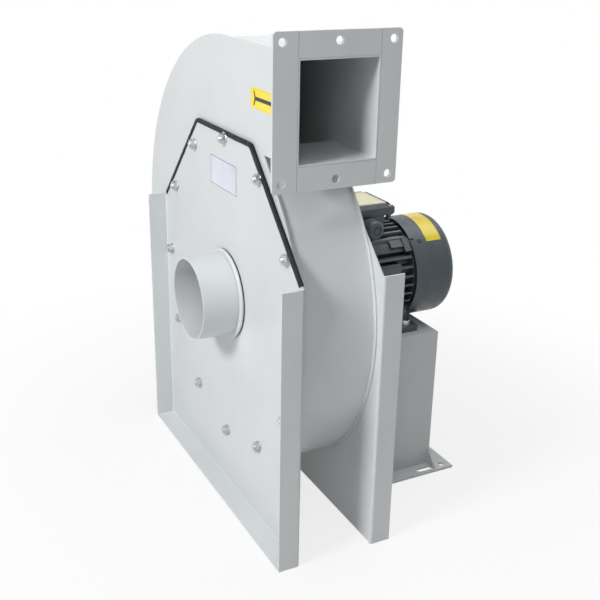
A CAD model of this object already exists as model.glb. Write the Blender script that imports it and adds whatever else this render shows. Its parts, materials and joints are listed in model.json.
import json
import math

import bpy
from mathutils import Matrix, Vector

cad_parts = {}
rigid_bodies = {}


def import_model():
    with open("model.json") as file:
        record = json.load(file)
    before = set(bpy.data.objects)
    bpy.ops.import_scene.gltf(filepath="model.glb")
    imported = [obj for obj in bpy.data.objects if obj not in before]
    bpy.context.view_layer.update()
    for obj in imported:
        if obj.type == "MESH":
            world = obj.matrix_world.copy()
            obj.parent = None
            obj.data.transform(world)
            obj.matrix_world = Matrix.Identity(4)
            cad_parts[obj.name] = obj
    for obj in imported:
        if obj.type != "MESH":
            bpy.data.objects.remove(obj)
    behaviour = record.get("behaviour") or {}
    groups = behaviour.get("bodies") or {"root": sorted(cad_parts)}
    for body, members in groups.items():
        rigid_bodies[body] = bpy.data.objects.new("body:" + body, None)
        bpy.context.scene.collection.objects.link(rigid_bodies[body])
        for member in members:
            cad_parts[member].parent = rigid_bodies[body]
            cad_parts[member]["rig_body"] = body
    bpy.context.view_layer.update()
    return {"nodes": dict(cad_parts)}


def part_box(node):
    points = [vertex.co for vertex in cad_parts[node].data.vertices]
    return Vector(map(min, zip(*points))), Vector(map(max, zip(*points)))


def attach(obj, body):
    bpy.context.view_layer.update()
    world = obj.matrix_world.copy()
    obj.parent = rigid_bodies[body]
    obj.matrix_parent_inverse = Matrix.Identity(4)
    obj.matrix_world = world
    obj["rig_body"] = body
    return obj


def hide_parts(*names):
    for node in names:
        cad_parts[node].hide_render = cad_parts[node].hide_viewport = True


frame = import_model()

nodes = frame["nodes"]
scene = bpy.context.scene

# Where the shaft's axis passes the front plate's face, in metres in the shared frame
SHAFT = Vector((0.0595, -0.1804, 0.392))


def metres(length):
    """A number or a vector in millimetres, turned into metres."""
    return length / 1000


def millimetres(length):
    return length * 1000


def at(x, y, z):
    """A place given in millimetres from the shaft's axis and the front plate's face."""
    return SHAFT + metres(Vector((x, y, z)))


# ---------------------------------------------------------------- shader nodes
def add(tree, kind, inputs=None, **settings):
    """A shader node with its settings. An input takes a value or another node's output."""
    node = tree.nodes.new(kind)
    for setting, value in settings.items():
        setattr(node, setting, value)
    for spot, value in (inputs or {}).items():
        if isinstance(value, bpy.types.NodeSocket):
            tree.links.new(value, node.inputs[spot])
        else:
            node.inputs[spot].default_value = value
    return node


def reckon(tree, operation, *values):
    """One step of arithmetic on values or outputs."""
    node = add(tree, "ShaderNodeMath", dict(enumerate(values)), operation=operation)
    return node.outputs[0]


def mix_colours(tree, share, first, second):
    inputs = {"Factor": share, "A": first, "B": second}
    return add(tree, "ShaderNodeMix", inputs, data_type="RGBA").outputs["Result"]


def mix_shaders(tree, share, first, second):
    inputs = {"Fac": share, 1: first, 2: second}
    return add(tree, "ShaderNodeMixShader", inputs).outputs["Shader"]


# ---------------------------------------------------------------- finishes
# Noise seldom leaves this band, so gloss is spread over it
NOISE_LOW, NOISE_HIGH = 0.3, 0.7


class Finish:
    """A surface: one shader fed from patterns on object coordinates."""

    def __init__(self, name, rough, metal=0.0, coat=0.0, coat_rough=0.1, specular=0.5):
        self.material = bpy.data.materials.new(name)
        self.material.use_nodes = True
        self.tree = self.material.node_tree
        self.shader = self.tree.nodes["Principled BSDF"]
        self.rough = rough
        for spot, value in (("Metallic", metal), ("Roughness", rough),
                            ("Specular IOR Level", specular),
                            ("Coat Weight", coat), ("Coat Roughness", coat_rough)):
            self.shader.inputs[spot].default_value = value
        self.where = add(self.tree, "ShaderNodeTexCoord").outputs["Object"]

    def noise(self, scale, detail, rough=0.5, where=None):
        inputs = {"Vector": self.where if where is None else where,
                  "Scale": scale, "Detail": detail, "Roughness": rough}
        return add(self.tree, "ShaderNodeTexNoise", inputs).outputs["Fac"]

    def cells(self, scale):
        inputs = {"Vector": self.where, "Scale": scale}
        return add(self.tree, "ShaderNodeTexVoronoi", inputs).outputs["Distance"]

    def waves(self, scale, distortion, where, **settings):
        inputs = {"Vector": where, "Scale": scale, "Distortion": distortion, "Detail": 2.0}
        return add(self.tree, "ShaderNodeTexWave", inputs, **settings).outputs["Fac"]

    def from_shaft(self):
        """Coordinates measured from the shaft's axis."""
        inputs = {"Vector": self.where, "Location": tuple(-SHAFT)}
        return add(self.tree, "ShaderNodeMapping", inputs).outputs["Vector"]

    def shades(self, pattern, colour, *stops):
        """Shades of one colour along a pattern. Each stop is a spot and a gain."""
        node = add(self.tree, "ShaderNodeValToRGB", {"Fac": pattern})
        band = node.color_ramp
        while len(band.elements) < len(stops):
            band.elements.new(0.5)  # its own spot follows below
        for element, (spot, gain) in zip(band.elements, stops):
            element.position = spot
            element.color = (*(min(1.0, c * gain) for c in colour), 1.0)
        return node.outputs["Color"]

    def colour(self, source):
        self.tree.links.new(source, self.shader.inputs["Base Color"])

    def gloss(self, pattern, less, more):
        """Lets the roughness wander along a pattern, by so much less or more."""
        inputs = {"Value": pattern, "From Min": NOISE_LOW, "From Max": NOISE_HIGH,
                  "To Min": self.rough - less, "To Max": self.rough + more}
        spread = add(self.tree, "ShaderNodeMapRange", inputs).outputs["Result"]
        self.tree.links.new(spread, self.shader.inputs["Roughness"])

    def bump(self, height, depth, strength, under=None):
        inputs = {"Height": height, "Distance": depth, "Strength": strength}
        if under is not None:
            inputs["Normal"] = under
        return add(self.tree, "ShaderNodeBump", inputs).outputs["Normal"]

    def relief(self, height, depth, strength, under=None):
        """The relief that the light sees, over a broader one if there is one."""
        normal = self.bump(height, depth, strength, under)
        self.tree.links.new(normal, self.shader.inputs["Normal"])


def powder_coat(name, colour):
    """Baked powder coat: a fine orange peel, a slow drift of tone and of gloss."""
    finish = Finish(name, rough=0.36, coat=0.12, coat_rough=0.22)
    drift = finish.noise(scale=7.0, detail=4.0, rough=0.6)
    finish.colour(finish.shades(drift, colour, (0.25, 0.955), (0.5, 1.0), (0.78, 1.03)))
    finish.gloss(finish.noise(scale=24.0, detail=3.0), less=0.05, more=0.07)
    broad = finish.bump(finish.noise(scale=60.0, detail=2.0), depth=0.00018, strength=0.35)
    peel = finish.noise(scale=1100.0, detail=2.0)
    finish.relief(peel, depth=0.00006, strength=0.55, under=broad)
    return finish.material


def cast_skin(finish):
    """The grainy relief and uneven gloss of enamel over a sand casting."""
    finish.gloss(finish.noise(scale=90.0, detail=4.0), less=0.08, more=0.12)
    lumps = finish.noise(scale=160.0, detail=4.0, rough=0.6)
    skin = finish.bump(lumps, depth=0.0003, strength=0.5)
    grain = finish.noise(scale=900.0, detail=3.0)
    finish.relief(grain, depth=0.0001, strength=0.6, under=skin)


def cast_paint(name, colour):
    """Enamel over a sand casting, with worn lighter patches."""
    finish = Finish(name, rough=0.42, coat=0.1, coat_rough=0.3)
    drift = finish.noise(scale=26.0, detail=5.0, rough=0.62)
    finish.colour(finish.shades(drift, colour, (0.28, 0.80), (0.52, 1.0), (0.8, 1.28)))
    cast_skin(finish)
    return finish.material


def finned_paint(name, crest, gap):
    """Enamel on a finned barrel: the crests are worn light, the gaps near the barrel are dark."""
    gap_radius, crest_radius = 0.084, 0.0935  # metres
    finish = Finish(name, rough=0.40, coat=0.1, coat_rough=0.3)
    tree = finish.tree
    across = add(tree, "ShaderNodeVectorMath", {0: finish.from_shaft(), 1: (1, 0, 1)},
                 operation="MULTIPLY")
    radius = add(tree, "ShaderNodeVectorMath", {0: across.outputs["Vector"]}, operation="LENGTH")
    height = add(tree, "ShaderNodeMapRange", {"Value": radius.outputs["Value"],
                                              "From Min": gap_radius, "From Max": crest_radius})
    drift = finish.noise(scale=26.0, detail=5.0, rough=0.62)
    worn = finish.shades(drift, crest, (0.28, 0.82), (0.52, 1.0), (0.8, 1.3))
    finish.colour(mix_colours(tree, height.outputs["Result"], (*gap, 1), worn))
    cast_skin(finish)
    return finish.material


def printed_panel(name, ground, ink, box, margin, line, up="Z"):
    """A printed panel: a frame line inside the edge, in millimetres, on a faded ground."""
    low, high = box
    finish = Finish(name, rough=0.34, coat=0.25, coat_rough=0.15)
    tree = finish.tree
    place = add(tree, "ShaderNodeSeparateXYZ", {"Vector": finish.where})
    insides = []
    for side in ("X", up):
        i = "XYZ".index(side)
        off = reckon(tree, "SUBTRACT", place.outputs[side], (low[i] + high[i]) / 2)
        size = reckon(tree, "ABSOLUTE", off)
        insides.append(reckon(tree, "SUBTRACT", (high[i] - low[i]) / 2, size))
    nearest = reckon(tree, "MINIMUM", *insides)
    on_line = reckon(tree, "COMPARE", nearest, metres(margin), metres(line) / 2)
    faded = finish.shades(finish.noise(scale=35.0, detail=4.0), ground,
                          (0.3, 0.94), (0.6, 1.0), (0.85, 1.04))
    finish.colour(mix_colours(tree, on_line, faded, (*ink, 1)))
    finish.gloss(finish.noise(scale=120.0, detail=3.0), less=0.06, more=0.12)
    finish.relief(finish.noise(scale=260.0, detail=2.0), depth=0.00005, strength=0.3)
    return finish.material


def plated_steel(name, colour):
    """Bright zinc plate: small spangles of tone and a slightly uneven polish."""
    finish = Finish(name, rough=0.24, metal=1.0)
    spangle = finish.cells(scale=420.0)
    finish.colour(finish.shades(spangle, colour, (0.0, 1.08), (0.6, 1.0), (1.0, 0.84)))
    finish.gloss(finish.noise(scale=300.0, detail=4.0), less=0.06, more=0.14)
    finish.relief(finish.noise(scale=1500.0, detail=2.0), depth=0.00004, strength=0.5)
    return finish.material


def turned_steel(name, colour):
    """Machined steel with fine tool marks that run round the shaft."""
    finish = Finish(name, rough=0.30, metal=1.0)
    rings = finish.waves(190.0, 0.6, finish.from_shaft(), wave_type="RINGS", rings_direction="Y")
    drift = finish.noise(scale=55.0, detail=5.0, rough=0.65)
    finish.colour(finish.shades(drift, colour, (0.3, 0.78), (0.55, 1.0), (0.8, 1.1)))
    finish.gloss(finish.noise(scale=210.0, detail=4.0), less=0.06, more=0.14)
    finish.relief(rings, depth=0.00005, strength=0.4)
    return finish.material


def rubber(name, colour):
    """Extruded rubber: faint dust in patches and a soft sheen."""
    finish = Finish(name, rough=0.46, specular=0.22)
    dust = finish.noise(scale=45.0, detail=5.0, rough=0.6)
    finish.colour(finish.shades(dust, colour, (0.3, 1.0), (0.6, 1.7), (0.85, 3.2)))
    finish.gloss(finish.noise(scale=140.0, detail=3.0), less=0.08, more=0.16)
    finish.relief(finish.noise(scale=700.0, detail=3.0), depth=0.00012, strength=0.5)
    return finish.material


def wound_copper(name, colour):
    """Enamelled copper turns: fine strands round the winding head."""
    finish = Finish(name, rough=0.28, metal=0.85)
    strands = finish.waves(320.0, 3.0, finish.where, bands_direction="DIAGONAL")
    finish.colour(finish.shades(strands, colour, (0.1, 0.55), (0.5, 1.0), (0.9, 1.2)))
    finish.relief(strands, depth=0.0003, strength=0.6)
    return finish.material


def moulded(name, colour):
    """Moulded plastic with a spark-eroded texture."""
    finish = Finish(name, rough=0.45)
    drift = finish.noise(scale=60.0, detail=4.0)
    finish.colour(finish.shades(drift, colour, (0.3, 0.85), (0.7, 1.25)))
    finish.gloss(finish.noise(scale=500.0, detail=3.0), less=0.05, more=0.1)
    finish.relief(finish.noise(scale=1600.0, detail=2.0), depth=0.00008, strength=0.5)
    return finish.material


def brushed_tag(name, colour):
    """A rolled metal plate: long fine scratches along its width and a few dull spots."""
    finish = Finish(name, rough=0.3, metal=0.75)
    stretch = add(finish.tree, "ShaderNodeMapping",
                  {"Vector": finish.where, "Scale": (18.0, 18.0, 900.0)})
    lines = finish.noise(scale=1.0, detail=5.0, rough=0.7, where=stretch.outputs["Vector"])
    finish.colour(finish.shades(lines, colour, (0.3, 0.88), (0.55, 1.0), (0.75, 1.08)))
    finish.gloss(finish.noise(scale=80.0, detail=4.0), less=0.05, more=0.15)
    finish.relief(lines, depth=0.00003, strength=0.5)
    return finish.material


def vinyl(name, colour):
    """Self-adhesive vinyl: faded patches, tiny bubbles under the film."""
    finish = Finish(name, rough=0.3, coat=0.3, coat_rough=0.12)
    faded = finish.noise(scale=35.0, detail=4.0)
    finish.colour(finish.shades(faded, colour, (0.3, 0.92), (0.6, 1.0), (0.85, 1.06)))
    finish.gloss(finish.noise(scale=200.0, detail=3.0), less=0.06, more=0.12)
    finish.relief(finish.cells(scale=260.0), depth=0.00005, strength=0.25)
    return finish.material


finishes = {
    "sheet_paint": powder_coat("light_grey_powder_coat", (0.64, 0.665, 0.675)),
    "black_rubber": rubber("black_rubber", (0.0055, 0.0055, 0.006)),
    "zinc_plated": plated_steel("bright_zinc", (0.56, 0.59, 0.62)),
    "motor_paint": cast_paint("blue_grey_enamel", (0.060, 0.082, 0.098)),
    "frame_paint": finned_paint("dark_frame_enamel", crest=(0.085, 0.100, 0.112),
                                gap=(0.010, 0.011, 0.012)),
    "bare_steel": turned_steel("turned_steel", (0.52, 0.52, 0.53)),
    "copper_wire": wound_copper("copper_wire", (0.62, 0.27, 0.13)),
    "black_plastic": moulded("black_plastic", (0.020, 0.020, 0.022)),
    "tag_metal": brushed_tag("brushed_tag", (0.72, 0.73, 0.74)),
    "yellow_label": vinyl("yellow_vinyl", (0.95, 0.74, 0.012)),
    "pale_label": vinyl("pale_vinyl", (0.90, 0.86, 0.52)),
}
slot_of = {}
for name, part in nodes.items():
    slot_of[name] = part.material_slots[0].material.name.split(".")[0]
    part.material_slots[0].material = finishes[slot_of[name]]


# ---------------------------------------------------------------- making pieces
SEAM_GAP = 0.00001  # metres: the first and last point of a turn are welded within this
TURN_AXES = {"X": (Vector((1, 0, 0)), Vector((0, 0, 1))),
             "Y": (Vector((0, 1, 0)), Vector((1, 0, 0)))}  # the axis, and where the radius starts
TURNED_SMOOTH = 32.0  # degrees: a sharper edge of a turned piece stays an edge
ALONG = 0.9  # a direction that has this share of an axis runs along it


def pick_none():
    bpy.ops.object.select_all(action="DESELECT")


def pick(*parts):
    pick_none()
    for part in parts:
        part.select_set(True)
    bpy.context.view_layer.objects.active = parts[-1]


def open_edit(part):
    pick(part)
    bpy.ops.object.mode_set(mode="EDIT")
    bpy.ops.mesh.select_mode(type="VERT")
    bpy.ops.mesh.select_all(action="SELECT")


def close_edit():
    bpy.ops.object.mode_set(mode="OBJECT")


def face_outward():
    """Turns the normals of the open mesh outward and leaves edit mode."""
    bpy.ops.mesh.select_all(action="SELECT")
    bpy.ops.mesh.normals_make_consistent(inside=False)
    close_edit()


def choose(part, kind, test):
    """Opens a piece with the vertices, edges or faces selected whose middle passes the test."""
    bpy.ops.object.mode_set(mode="EDIT")
    bpy.ops.mesh.select_all(action="DESELECT")
    bpy.ops.mesh.select_mode(type=kind)
    bpy.ops.object.mode_set(mode="OBJECT")
    mesh = part.data
    if kind == "FACE":
        for face in mesh.polygons:
            face.select = test(face.center, face.normal)
    elif kind == "EDGE":
        for edge in mesh.edges:
            ends = [mesh.vertices[i].co for i in edge.vertices]
            edge.select = test((ends[0] + ends[1]) / 2, ends[1] - ends[0])
    else:
        for vertex in mesh.vertices:
            vertex.select = test(vertex.co, vertex.normal)
    bpy.ops.object.mode_set(mode="EDIT")


def smooth(part, angle):
    """Smooth shading, with an edge wherever the faces turn more than the angle in degrees."""
    pick(part)
    bpy.ops.object.shade_smooth_by_angle(angle=math.radians(angle))


def extrude(step):
    bpy.ops.mesh.extrude_region_move(TRANSFORM_OT_translate={"value": step})


def modify(part, kind, **settings):
    """Adds a modifier with its settings to the picked piece and applies it."""
    bpy.ops.object.modifier_add(type=kind)
    modifier = part.modifiers[-1]
    for setting, value in settings.items():
        setattr(modifier, setting, value)
    bpy.ops.object.modifier_apply(modifier=modifier.name)


def join(parts):
    """Joins the parts to the last of them."""
    pick(*parts)
    bpy.ops.object.join()
    return bpy.context.object


def chain(spots):
    """A line of edges drawn from one point, each next point extruded from the last."""
    pick_none()
    bpy.ops.mesh.primitive_plane_add(size=0.001, location=(0, 0, 0))
    part = bpy.context.object
    open_edit(part)
    bpy.ops.mesh.merge(type="CENTER")
    bpy.ops.transform.translate(value=spots[0])
    for before, after in zip(spots, spots[1:]):
        extrude(after - before)
    bpy.ops.mesh.select_all(action="SELECT")
    return part


def outline(spots):
    """A flat face bounded by a closed chain of edges."""
    part = chain(spots)
    bpy.ops.mesh.edge_face_add()
    close_edit()
    return part


def turned_piece(profile, centre, axis, steps):
    """A turned piece: points (radius, distance along the axis) in mm, spun once round."""
    along, side = TURN_AXES[axis]
    part = chain([centre + metres(side * r) + metres(along * d) for r, d in profile])
    bpy.ops.mesh.spin(steps=steps, angle=math.tau, center=centre, axis=along)
    bpy.ops.mesh.select_all(action="SELECT")
    bpy.ops.mesh.remove_doubles(threshold=SEAM_GAP)
    face_outward()
    smooth(part, TURNED_SMOOTH)
    return part


def copies(part, places):
    """Copies of one piece, each with its own mesh, moved by the given steps and joined to it."""
    made = []
    for step in places:
        pick(part)
        bpy.ops.object.duplicate(linked=False)
        twin = bpy.context.object
        open_edit(twin)
        bpy.ops.transform.translate(value=step)
        close_edit()
        made.append(twin)
    return join([*made, part])


def ring_steps(radius, count):
    """The steps from the first place of a ring round the shaft to each of the others."""
    first = metres(Vector((radius, 0, 0)))
    turns = (math.radians(i * 360 / count) for i in range(1, count))
    return [metres(Vector((math.cos(a), 0, math.sin(a))) * radius) - first for a in turns]


def finish_piece(part, name, node, slot, finish=None):
    """Names a piece, gives it its finish and puts it in place of one construction piece."""
    part.name = part.data.name = name
    part.data.materials.clear()
    part.data.materials.append(finish or finishes[slot])
    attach(part, nodes[node]["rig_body"])
    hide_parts(node)


# ---------------------------------------------------------------- construction pieces, edges eased
EASED_TURN = 25.0  # degrees: an edge that turns more is eased
EASED_STEPS = 2
EASED_SMOOTH = 30.0  # degrees
WELD_GAP = 0.00002  # metres
FLAT_TURN = 0.6  # degrees: faces that turn less become one
EASED_WIDTHS = (  # millimetres
    ("front_support_plate", 0.5), ("rear_support_plate", 0.5), ("casing_front_sheet", 0.5),
    ("casing_rear_sheet", 0.5), ("scroll_wrapper", 0.3), ("duct_floor", 0.3),
    ("inlet_spigot", 0.7), ("inlet_collar", 0.8), ("outlet_side_bars", 0.7),
    ("outlet_cross_bars", 0.7), ("pedestal_column", 0.7), ("pedestal_base", 0.7),
    ("pedestal_gussets", 0.7), ("motor_frame", 0.8), ("drive_end_shield", 0.8),
    ("terminal_box", 1.2), ("terminal_lid", 1.6), ("cooling_fan", 0.5), ("cowl_grille", 0.6),
    ("impeller_hub", 0.8), ("foot_bolts", 0.5), ("foot_nuts", 0.5), ("foot_washers", 0.25),
    ("lid_screws", 0.3), ("panel_nuts", 0.7), ("motor_plate", 0.15), ("cowl_label", 0.1),
)


def eased(node, width):
    """A copy of a construction piece with its sharp edges eased, as paint and tooling do."""
    part = nodes[node].copy()
    part.data = nodes[node].data.copy()
    for key in list(part.keys()):
        del part[key]
    part.parent = None
    scene.collection.objects.link(part)
    open_edit(part)
    bpy.ops.mesh.remove_doubles(threshold=WELD_GAP)
    bpy.ops.mesh.customdata_custom_splitnormals_clear()
    bpy.ops.mesh.select_all(action="SELECT")
    bpy.ops.mesh.mark_sharp(clear=True)
    bpy.ops.mesh.dissolve_limited(angle_limit=math.radians(FLAT_TURN))
    close_edit()
    modify(part, "BEVEL", limit_method="ANGLE", angle_limit=math.radians(EASED_TURN),
           width=metres(width), segments=EASED_STEPS, use_clamp_overlap=True)
    smooth(part, EASED_SMOOTH)
    modify(part, "WEIGHTED_NORMAL", weight=100, keep_sharp=True)
    finish_piece(part, node + "_eased", node, slot_of[node])


for node, width in EASED_WIDTHS:
    eased(node, width)


# ---------------------------------------------------------------- fasteners of both support plates
# Millimetres. A shape's points are (radius, height over the plate).
STUD_COUNT = 12
FRONT_CIRCLE, REAR_CIRCLE = 279.5, 265.0  # radius of the stud circles
REAR_FACE = 144.5  # from the front plate's face to the rear plate's
WASHER_SHAPE = ((5.15, 0.0), (9.6, 0.0), (10.0, 0.4), (10.0, 1.6),
                (9.6, 2.0), (5.4, 2.0), (5.15, 1.7), (5.15, 0.0))
WASHER_STEPS, STUD_STEPS = 32, 20  # sides of each round
STUD_RADIUS, STUD_REACH = 4.98, 13.0
THREAD_PITCH, THREAD_DEPTH, FIRST_CREST = 1.5, 0.75, 0.4
PLAIN_TIP = 0.8  # no crest starts this close to the tip
TIP_SHAPE = ((-0.2, -0.9), (-1.2, 0.0))  # the chamfer, from the stud's radius and reach


def threaded_end(centre, out):
    """A stud end: rolled thread crests and a chamfered tip."""
    points, crest = [(STUD_RADIUS, 0.0)], FIRST_CREST
    while crest + THREAD_PITCH < STUD_REACH - PLAIN_TIP:
        root = (STUD_RADIUS - THREAD_DEPTH, crest + THREAD_PITCH / 2)
        points += [(STUD_RADIUS, crest), root]
        crest += THREAD_PITCH
    points.append((STUD_RADIUS, crest))
    points += [(STUD_RADIUS + r, STUD_REACH + d) for r, d in TIP_SHAPE]
    points.append((0.0, STUD_REACH))
    return turned_piece([(r, d * out) for r, d in points], centre, "Y", STUD_STEPS)


def plate_fasteners():
    """The washers and stud ends of both plates. The nuts are eased construction pieces."""
    washers, studs = [], []
    for face, out, circle in ((0.0, -1, FRONT_CIRCLE), (REAR_FACE, 1, REAR_CIRCLE)):
        ring, first = ring_steps(circle, STUD_COUNT), at(circle, face, 0)
        shape = [(r, d * out) for r, d in WASHER_SHAPE]
        washer = turned_piece(shape, first, "Y", WASHER_STEPS)
        washers.append(copies(washer, ring))
        studs.append(copies(threaded_end(first, out), ring))
    finish_piece(join(washers), "panel_washers_turned", "panel_washers", "zinc_plated")
    finish_piece(join(studs), "stud_ends", "panel_studs", "zinc_plated")


plate_fasteners()


# ---------------------------------------------------------------- rubber trim on the front plate
# Millimetres. A shape's points are (outward from the plate's edge, behind the plate's face).
TRIM_SHAPE = ((-5.0, -0.5), (-5.0, -1.3), (-4.3, -2.0), (-2.2, -2.0), (0.6, -1.9), (1.9, -1.3),
              (2.5, -0.2), (2.45, 0.7), (1.75, 1.2), (1.75, 1.9), (2.45, 2.4), (2.5, 3.3),
              (1.9, 4.4), (0.6, 5.0), (-2.2, 5.0), (-4.3, 5.0), (-5.0, 4.3), (-5.0, 3.05),
              (0.35, 3.05), (0.35, -0.05), (-5.0, -0.05))
TRIM_CORNERS = ((-307.5, 108.0), (-128.0, 290.0), (105.0, 290.0), (292.5, 108.0))
TRIM_END_GAP = 5.4  # from the plate's folded flange to the trim's cut end
TRIM_BEND = 7.0  # the bend starts this far before a corner and ends as far behind it
TRIM_BEND_STEPS = 5
TRIM_STEP = 7  # between two stations of a straight run
TRIM_WAVES = ((0.16, 17.0, 1.7), (0.09, 6.1, 1.0))  # height, length, shift from run to run
TRIM_FADE = 3  # stations over which the waves fade in and out
TRIM_MIDDLE = 1.5  # behind the plate's face
LIP_TOP, LIP_LIFT = 289.9, 5.2  # the lip below this height is lifted over the top washer
LIP_REACH = 11.0  # to each side of the top washer's middle
LIP_BACK = 0.05  # what lies further behind the plate's face stays
TRIM_SMOOTH = 50  # degrees


def trim_route():
    """Stations along the plate's bare edge: place (x, z) and outward angle, with bends."""
    corners = [Vector(corner) for corner in TRIM_CORNERS]
    runs = [(b - a).normalized() for a, b in zip(corners, corners[1:])]
    last = len(runs) - 1
    stations = []
    for i, run in enumerate(runs):
        start = corners[i] + run * (TRIM_END_GAP if i == 0 else TRIM_BEND)
        end = corners[i + 1] - run * (TRIM_END_GAP if i == last else TRIM_BEND)
        length = (end - start).length
        count = max(2, round(length / TRIM_STEP))
        turn = math.atan2(run.x, -run.y)
        outward = Vector((-run.y, run.x))
        for k in range(count + 1):
            along = length * k / count
            wave = sum(height * math.sin(along / wave_length + i * shift)
                       for height, wave_length, shift in TRIM_WAVES)
            fade = min(1.0, k / TRIM_FADE, (count - k) / TRIM_FADE)
            stations.append((start + run * along + outward * wave * fade, turn))
        if i < last:
            after = runs[i + 1]
            next_turn = math.atan2(after.x, -after.y)
            corner, next_start = corners[i + 1], corners[i + 1] + after * TRIM_BEND
            for k in range(1, TRIM_BEND_STEPS):
                t = k / TRIM_BEND_STEPS
                spot = end * (1 - t) ** 2 + corner * 2 * t * (1 - t) + next_start * t * t
                stations.append((spot, turn + (next_turn - turn) * t))
    return stations


def edge_trim():
    """The trim's section drawn along the plate's bare edge."""
    stations = trim_route()
    first, turn = stations[0]
    out = Vector((math.cos(turn), 0, math.sin(turn)))
    trim = outline([at(first.x, y, first.y) + metres(out * n) for n, y in TRIM_SHAPE])
    open_edit(trim)
    for (a, turn_a), (b, turn_b) in zip(stations, stations[1:]):
        extrude(metres(Vector((b.x - a.x, 0, b.y - a.y))))
        if turn_b != turn_a:
            bpy.ops.transform.rotate(value=turn_b - turn_a, orient_axis="Y",
                                     center_override=at(b.x, TRIM_MIDDLE, b.y))
    face_outward()
    # the front lip gives way round the top fastener's washer
    top, back = at(0, 0, LIP_TOP), at(0, LIP_BACK, 0)
    choose(trim, "VERT", lambda spot, normal: spot.y < back.y and spot.z < top.z
           and abs(spot.x - top.x) < metres(LIP_REACH))
    bpy.ops.transform.translate(value=(0, 0, metres(LIP_LIFT)))
    close_edit()
    smooth(trim, TRIM_SMOOTH)
    finish_piece(trim, "edge_trim_bead", "front_edge_trim", "black_rubber")


edge_trim()


# ---------------------------------------------------------------- blanking plug on the terminal box
# Millimetres. Points are (from the plug's outer radius, from the start of the barrel or the end
# of the dome).
PLUG_STEPS = 48  # sides of its round
PLUG_BARREL = 30.0  # from the neck's end to the top
PLUG_NECK = 4.0  # the neck's radius is this much less
PLUG_BARREL_SHAPE = ((-0.4, 0.2), (0.0, 0.6), (0.0, 9.0), (-0.7, 9.8), (0.0, 10.6))
PLUG_DOME, PLUG_DOME_STEPS = 8, 8
PLUG_TOP_SHAPE = ((-9.0, -0.2), (-9.6, -1.8), (-12.2, -2.0), (-12.8, -0.6), (-14.2, -0.3))


def entry_plug():
    """A plug: a neck at the box, a barrel with a groove round it, a dome with a ring on top."""
    low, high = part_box("blanking_plug")
    r = millimetres((high.z - low.z) / 2)
    reach = millimetres(high.x - low.x)
    base = Vector((low.x, (low.y + high.y) / 2, (low.z + high.z) / 2))
    wall = reach - PLUG_BARREL
    neck = [(0.0, 0.0), (r - PLUG_NECK, 0.0), (r - PLUG_NECK, wall + PLUG_BARREL_SHAPE[0][1])]
    barrel = [(r + dr, wall + d) for dr, d in PLUG_BARREL_SHAPE]
    turns = [math.radians(90 - 90 / PLUG_DOME_STEPS * k) for k in range(PLUG_DOME_STEPS + 1)]
    dome = [(r - PLUG_DOME + PLUG_DOME * math.sin(a), reach - PLUG_DOME + PLUG_DOME * math.cos(a))
            for a in turns]
    top = [(r + dr, reach + d) for dr, d in PLUG_TOP_SHAPE]
    middle = [(0.0, top[-1][1])]
    plug = turned_piece(neck + barrel + dome + top + middle, base, "X", PLUG_STEPS)
    finish_piece(plug, "entry_plug", "blanking_plug", "motor_paint")


entry_plug()


# ---------------------------------------------------------------- domed screws that hold the cowl
COWL_SCREW_PLACE = (97.3, 364.8, 0)  # millimetres: the cowl's radius, and how far back
COWL_SCREW_ANGLES = (46, 134, 226, 314)  # degrees round the shaft
COWL_SCREW_STEPS = 24  # sides of its round
COWL_SCREW_SHAPE = ((0.0, -3.0), (2.4, -3.0), (2.4, 0.0), (4.7, 0.0), (4.7, 0.5), (4.2, 1.5),
                    (3.2, 2.3), (2.0, 2.7), (1.7, 2.7), (1.5, 1.3), (0.0, 1.3))


def cowl_screw_heads():
    """One head is turned at the same place for each angle, and swung round the shaft to it."""
    heads = []
    axis = at(0, COWL_SCREW_PLACE[1], 0)
    for angle in COWL_SCREW_ANGLES:
        head = turned_piece(COWL_SCREW_SHAPE, at(*COWL_SCREW_PLACE), "X", COWL_SCREW_STEPS)
        open_edit(head)
        bpy.ops.transform.rotate(value=math.radians(angle), orient_axis="Y", center_override=axis)
        close_edit()
        heads.append(head)
    finish_piece(join(heads), "cowl_screw_heads", "cowl_screws", "motor_paint")


cowl_screw_heads()


# ---------------------------------------------------------------- plates and labels
CORNER_STEPS = 5
PANEL_SMOOTH = 30  # degrees
LIP_SLOPE, LIP_DROP = 0.0002, -0.00008  # metres: the step inside a panel's lip
# Millimetres along and across the casing label, upper half of the arrow from tail to tip
ARROW_HALF = ((9.5, 11.5), (13.0, 11.5), (17.0, 3.0), (80.0, 3.0), (80.0, 9.5), (97.0, 0.0))
ARROW_TAIL = (13.6, 0.0)  # where the tail is split
ARROW_LIFT, ARROW_THICK = 0.04, 0.16  # millimetres


def thin_panel(node, flat, corner, lip):
    """A thin panel with rounded corners and a pressed lip, in place of its construction piece."""
    low, high = (Vector(end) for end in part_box(node))
    pick_none()
    bpy.ops.mesh.primitive_cube_add(size=1, location=(low + high) / 2)
    panel = bpy.context.object
    panel.scale = high - low
    bpy.ops.object.transform_apply(location=True, rotation=True, scale=True)
    i = "XYZ".index(flat)
    choose(panel, "EDGE", lambda spot, way: abs(way.normalized()[i]) > ALONG)
    bpy.ops.mesh.bevel(offset=metres(corner), segments=CORNER_STEPS, affect="EDGES")
    close_edit()
    out = -1 if flat == "Y" else 1
    choose(panel, "FACE", lambda spot, normal: normal[i] * out > ALONG)
    bpy.ops.mesh.inset(thickness=metres(lip), depth=0.0)
    bpy.ops.mesh.inset(thickness=LIP_SLOPE, depth=LIP_DROP)
    close_edit()
    smooth(panel, PANEL_SMOOTH)
    return panel


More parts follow.
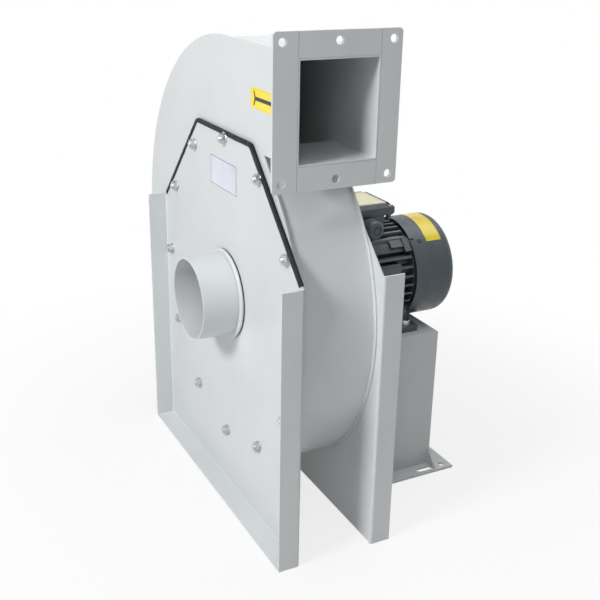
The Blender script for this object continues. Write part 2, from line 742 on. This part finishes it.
def plates_and_labels():
    """The three panels that carry a plain frame line. Lengths are in millimetres."""
    finish_piece(
        thin_panel("maker_plate", "Y", corner=3.0, lip=0.6),
        "blank_maker_plate", "maker_plate", "tag_metal",
        printed_panel("blank_tag_print", (0.68, 0.70, 0.80), (0.22, 0.24, 0.32),
                      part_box("maker_plate"), margin=2.6, line=1.6))
    finish_piece(
        thin_panel("casing_label", "Y", corner=2.5, lip=0.5),
        "arrow_label", "casing_label", "yellow_label",
        printed_panel("yellow_arrow_ground", (0.93, 0.73, 0.010), (0.55, 0.40, 0.01),
                      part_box("casing_label"), margin=1.6, line=0.5))
    finish_piece(
        thin_panel("lid_label", "Z", corner=3.0, lip=0.6),
        "pale_lid_label", "lid_label", "pale_label",
        printed_panel("pale_lid_print", (0.96, 0.90, 0.58), (0.42, 0.36, 0.20),
                      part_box("lid_label"), margin=3.5, line=0.9, up="Y"))


def flow_arrow():
    """A plain black arrow along the casing label, pointing to the outlet, with a split tail."""
    low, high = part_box("casing_label")
    face, middle = low.y - metres(ARROW_LIFT), (low.z + high.z) / 2
    lower = [(x, -z) for x, z in reversed(ARROW_HALF[:-1])]
    arrow = outline([Vector((low.x + metres(x), face, middle + metres(z)))
                     for x, z in [*ARROW_HALF, *lower, ARROW_TAIL]])
    open_edit(arrow)
    extrude((0, -metres(ARROW_THICK), 0))
    face_outward()
    smooth(arrow, PANEL_SMOOTH)
    arrow.name = arrow.data.name = "flow_arrow"
    arrow.data.materials.clear()
    arrow.data.materials.append(finishes["black_plastic"])
    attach(arrow, "casing")


plates_and_labels()
flow_arrow()


# ---------------------------------------------------------------- studio
WHITE = (1, 1, 1, 1)
FLOOR_TONE = (0.82, 0.82, 0.82, 1)
FLOOR_WIDTH = 80  # metres
# The floor's own shadow shows within the first distance from the part and is gone at the second
SHADOW_NEAR, SHADOW_FAR = 0.35, 1.1
SHADOW_HIDDEN = 0.80  # share of the shadow that the white covers near the part
SKY_STRENGTH = 0.04
BLOWER_MIDDLE, MOTOR_TOP = (0.0, 0.0, 0.45), (0.08, 0.15, 0.5)
LAMPS = (  # name, place, aim, width in metres, watts
    ("key_light", (0.9, -3.1, 2.5), BLOWER_MIDDLE, 0.9, 100),
    ("overhead_light", (0.2, -0.4, 3.8), BLOWER_MIDDLE, 2.6, 44),
    ("outlet_side_light", (3.0, -1.6, 2.6), BLOWER_MIDDLE, 1.8, 18),
    ("motor_top_light", (-0.15, 0.9, 2.4), MOTOR_TOP, 1.3, 15),
)
CAMERA_PLACE = (1.52723, -0.79789, 1.00762)
CAMERA_AZIMUTH, CAMERA_RISE, CAMERA_ROLL = 62.414, 21.559, 1.122  # degrees
CAMERA_LENS, CAMERA_SENSOR = 56.80, 36.0  # millimetres


def seen_directly(tree):
    """1 for rays of the camera, mirrors and glass, 0 for the light that falls on the part."""
    rays = add(tree, "ShaderNodeLightPath").outputs
    seen = reckon(tree, "MAXIMUM", rays["Is Camera Ray"], rays["Is Glossy Ray"])
    return reckon(tree, "MAXIMUM", seen, rays["Is Transmission Ray"])


def studio_floor():
    """A white floor that keeps a soft shadow near the part."""
    pick_none()
    bpy.ops.mesh.primitive_plane_add(size=FLOOR_WIDTH, location=(0, 0, 0))
    floor = bpy.context.object
    floor.name = "studio_floor"
    finish = bpy.data.materials.new("pale_floor")
    finish.use_nodes = True
    tree = finish.node_tree
    tree.nodes.clear()
    matte = add(tree, "ShaderNodeBsdfDiffuse", {"Color": FLOOR_TONE})
    glow = add(tree, "ShaderNodeEmission", {"Color": WHITE, "Strength": 1.0})
    place = add(tree, "ShaderNodeTexCoord")
    reach = add(tree, "ShaderNodeVectorMath", {0: place.outputs["Object"]}, operation="LENGTH")
    fade = add(tree, "ShaderNodeMapRange",
               {"Value": reach.outputs["Value"], "From Min": SHADOW_NEAR,
                "From Max": SHADOW_FAR, "To Min": SHADOW_HIDDEN, "To Max": 1.0},
               interpolation_type="SMOOTHSTEP")
    share = reckon(tree, "MULTIPLY", fade.outputs["Result"], seen_directly(tree))
    shown = mix_shaders(tree, share, matte.outputs["BSDF"], glow.outputs["Emission"])
    add(tree, "ShaderNodeOutputMaterial", {"Surface": shown})
    floor.data.materials.append(finish)


def studio_sky():
    """A faint even light from all sides, in front of a background that is seen as white."""
    scene.world = bpy.data.worlds.new("studio_sky")
    scene.world.use_nodes = True
    tree = scene.world.node_tree
    tree.nodes.clear()
    lit = add(tree, "ShaderNodeBackground", {"Color": WHITE, "Strength": SKY_STRENGTH})
    white = add(tree, "ShaderNodeBackground", {"Color": WHITE, "Strength": 1.0})
    shown = mix_shaders(tree, seen_directly(tree), lit.outputs["Background"],
                        white.outputs["Background"])
    add(tree, "ShaderNodeOutputWorld", {"Surface": shown})


def soft_box(name, place, aim, width, watts):
    """A square soft box that points from its place to its aim."""
    pick_none()
    bpy.ops.object.light_add(type="AREA", location=place)
    lamp = bpy.context.object
    lamp.name = name
    lamp.data.shape = "RECTANGLE"
    lamp.data.size = lamp.data.size_y = width
    lamp.data.energy = watts
    lamp.rotation_mode = "QUATERNION"
    lamp.rotation_quaternion = (Vector(aim) - Vector(place)).to_track_quat("-Z", "Y")


def set_camera():
    """The camera that was solved from the photo's straight edges."""
    azimuth, rise, roll = map(math.radians, (CAMERA_AZIMUTH, CAMERA_RISE, CAMERA_ROLL))
    back = Vector((math.sin(azimuth) * math.cos(rise), -math.cos(azimuth) * math.cos(rise),
                   math.sin(rise)))
    level = (-back).cross(Vector((0, 0, 1))).normalized()
    top = level.cross(-back)
    right = math.cos(roll) * level + math.sin(roll) * top
    up = -math.sin(roll) * level + math.cos(roll) * top
    turn = Matrix((right, up, back)).transposed().to_4x4()
    pick_none()
    bpy.ops.object.camera_add()
    camera = bpy.context.object
    camera.name = "photo_camera"
    camera.matrix_world = Matrix.Translation(CAMERA_PLACE) @ turn
    camera.data.lens = CAMERA_LENS
    camera.data.sensor_width = CAMERA_SENSOR
    scene.camera = camera


studio_floor()
studio_sky()
for lamp in LAMPS:
    soft_box(*lamp)
set_camera()
scene.view_settings.view_transform = "Standard"
